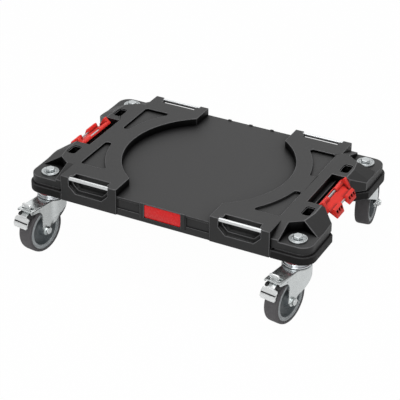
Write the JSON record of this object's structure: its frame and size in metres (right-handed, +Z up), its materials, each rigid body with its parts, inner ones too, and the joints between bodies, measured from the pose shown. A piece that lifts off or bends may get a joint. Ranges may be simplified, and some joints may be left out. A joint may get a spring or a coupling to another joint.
{
  "type": "tool box transport platform",
  "caption": "Low wheeled platform for stacked tool boxes, with a recessed deck, strike bars, folding side latches and swivelling castors with foot brakes.",
  "frame": {"origin": "on the floor under the middle of the deck", "axes": "+X along the long side to the right, the front with the label faces -Y, +Z up"},
  "size_m": [0.634, 0.5378, 0.1851],
  "materials": {
    "deck_plastic": "moulded polypropylene with a fine grained surface",
    "base_plastic": "moulded polypropylene with a coarser grain",
    "label_plastic": "smooth plate set in a frame, bare",
    "red_plastic": "moulded nylon, semi-matte",
    "zinc_steel": "zinc-plated steel fasteners",
    "bar_steel": "bright drawn steel",
    "fork_steel": "pressed zinc-plated steel sheet",
    "rim_plastic": "moulded grey polypropylene",
    "tyre_rubber": "grey thermoplastic rubber",
    "shoe_rubber": "black moulded rubber"
  },
  "bodies": {
    "platform": {"deck": "deck_plastic", "base_frame": "base_plastic", "label_plate": "label_plastic", "corner_bolts": "zinc_steel", "corner_washers": "zinc_steel", "thrust_washers": "zinc_steel", "castor_nuts": "zinc_steel", "base_screws": "zinc_steel", "swivel_seals": "red_plastic", "strike_bar_front_left": "bar_steel", "strike_bar_front_right": "bar_steel", "strike_bar_rear_left": "bar_steel", "strike_bar_rear_right": "bar_steel", "latch_hinge_pin_left": "bar_steel", "latch_hinge_pin_right": "bar_steel", "castor_head_front_left": "fork_steel", "castor_head_front_right": "fork_steel", "castor_head_rear_left": "fork_steel", "castor_head_rear_right": "fork_steel"},
    "latch_left": {"latch_left": "red_plastic", "latch_cross_pin_left": "bar_steel"},
    "latch_right": {"latch_right": "red_plastic", "latch_cross_pin_right": "bar_steel"},
    "castor_front_left": {"fork_front_left": "fork_steel", "swivel_balls_front_left": "bar_steel", "axle_bolt_front_left": "zinc_steel", "axle_sleeve_front_left": "zinc_steel", "brake_pin_front_left": "zinc_steel"},
    "wheel_front_left": {"wheel_rim_front_left": "rim_plastic", "tyre_front_left": "tyre_rubber"},
    "brake_front_left": {"brake_lever_front_left": "fork_steel", "brake_shoe_front_left": "shoe_rubber"},
    "castor_front_right": {"fork_front_right": "fork_steel", "swivel_balls_front_right": "bar_steel", "axle_bolt_front_right": "zinc_steel", "axle_sleeve_front_right": "zinc_steel", "brake_pin_front_right": "zinc_steel"},
    "wheel_front_right": {"wheel_rim_front_right": "rim_plastic", "tyre_front_right": "tyre_rubber"},
    "brake_front_right": {"brake_lever_front_right": "fork_steel", "brake_shoe_front_right": "shoe_rubber"},
    "castor_rear_left": {"fork_rear_left": "fork_steel", "swivel_balls_rear_left": "bar_steel", "axle_bolt_rear_left": "zinc_steel", "axle_sleeve_rear_left": "zinc_steel", "brake_pin_rear_left": "zinc_steel"},
    "wheel_rear_left": {"wheel_rim_rear_left": "rim_plastic", "tyre_rear_left": "tyre_rubber"},
    "brake_rear_left": {"brake_lever_rear_left": "fork_steel", "brake_shoe_rear_left": "shoe_rubber"},
    "castor_rear_right": {"fork_rear_right": "fork_steel", "swivel_balls_rear_right": "bar_steel", "axle_bolt_rear_right": "zinc_steel", "axle_sleeve_rear_right": "zinc_steel", "brake_pin_rear_right": "zinc_steel"},
    "wheel_rear_right": {"wheel_rim_rear_right": "rim_plastic", "tyre_rear_right": "tyre_rubber"},
    "brake_rear_right": {"brake_lever_rear_right": "fork_steel", "brake_shoe_rear_right": "shoe_rubber"}
  },
  "joints": [
    {"name": "latch_left_fold", "type": "hinge", "parent": "platform", "child": "latch_left", "pos_m": [-0.272, 0, 0.172], "axis": [0, 1, 0], "range_deg": [0, 118]},
    {"name": "latch_right_fold", "type": "hinge", "parent": "platform", "child": "latch_right", "pos_m": [0.272, 0, 0.172], "axis": [0, -1, 0], "range_deg": [0, 118]},
    {"name": "castor_front_left_swivel", "type": "hinge", "parent": "platform", "child": "castor_front_left", "pos_m": [-0.2765, -0.1675, 0.111], "axis": [0, 0, 1], "continuous": true},
    {"name": "wheel_front_left_roll", "type": "hinge", "parent": "castor_front_left", "child": "wheel_front_left", "pos_m": [-0.28207, -0.20711, 0.05], "axis": [0.9903, -0.1392, 0], "continuous": true},
    {"name": "brake_front_left_press", "type": "hinge", "parent": "castor_front_left", "child": "brake_front_left", "pos_m": [-0.28485, -0.22692, 0.1035], "axis": [0.9903, -0.1392, 0], "range_deg": [0, 10]},
    {"name": "castor_front_right_swivel", "type": "hinge", "parent": "platform", "child": "castor_front_right", "pos_m": [0.2765, -0.1675, 0.111], "axis": [0, 0, 1], "continuous": true},
    {"name": "wheel_front_right_roll", "type": "hinge", "parent": "castor_front_right", "child": "wheel_front_right", "pos_m": [0.27024, -0.20701, 0.05], "axis": [0.9877, -0.1564, 0], "continuous": true},
    {"name": "brake_front_right_press", "type": "hinge", "parent": "castor_front_right", "child": "brake_front_right", "pos_m": [0.26711, -0.22676, 0.1035], "axis": [0.9877, -0.1564, 0], "range_deg": [0, 10]},
    {"name": "castor_rear_left_swivel", "type": "hinge", "parent": "platform", "child": "castor_rear_left", "pos_m": [-0.2765, 0.1675, 0.111], "axis": [0, 0, 1], "continuous": true},
    {"name": "wheel_rear_left_roll", "type": "hinge", "parent": "castor_rear_left", "child": "wheel_rear_left", "pos_m": [-0.27301, 0.20735, 0.05], "axis": [-0.9962, 0.0872, 0], "continuous": true},
    {"name": "brake_rear_left_press", "type": "hinge", "parent": "castor_rear_left", "child": "brake_rear_left", "pos_m": [-0.27127, 0.22727, 0.1035], "axis": [-0.9962, 0.0872, 0], "range_deg": [0, 10]},
    {"name": "castor_rear_right_swivel", "type": "hinge", "parent": "platform", "child": "castor_rear_right", "pos_m": [0.2765, 0.1675, 0.111], "axis": [0, 0, 1], "continuous": true},
    {"name": "wheel_rear_right_roll", "type": "hinge", "parent": "castor_rear_right", "child": "wheel_rear_right", "pos_m": [0.27093, 0.20711, 0.05], "axis": [-0.9903, -0.1392, 0], "continuous": true},
    {"name": "brake_rear_right_press", "type": "hinge", "parent": "castor_rear_right", "child": "brake_rear_right", "pos_m": [0.26815, 0.22692, 0.1035], "axis": [-0.9903, -0.1392, 0], "range_deg": [0, 10]}
  ]
}
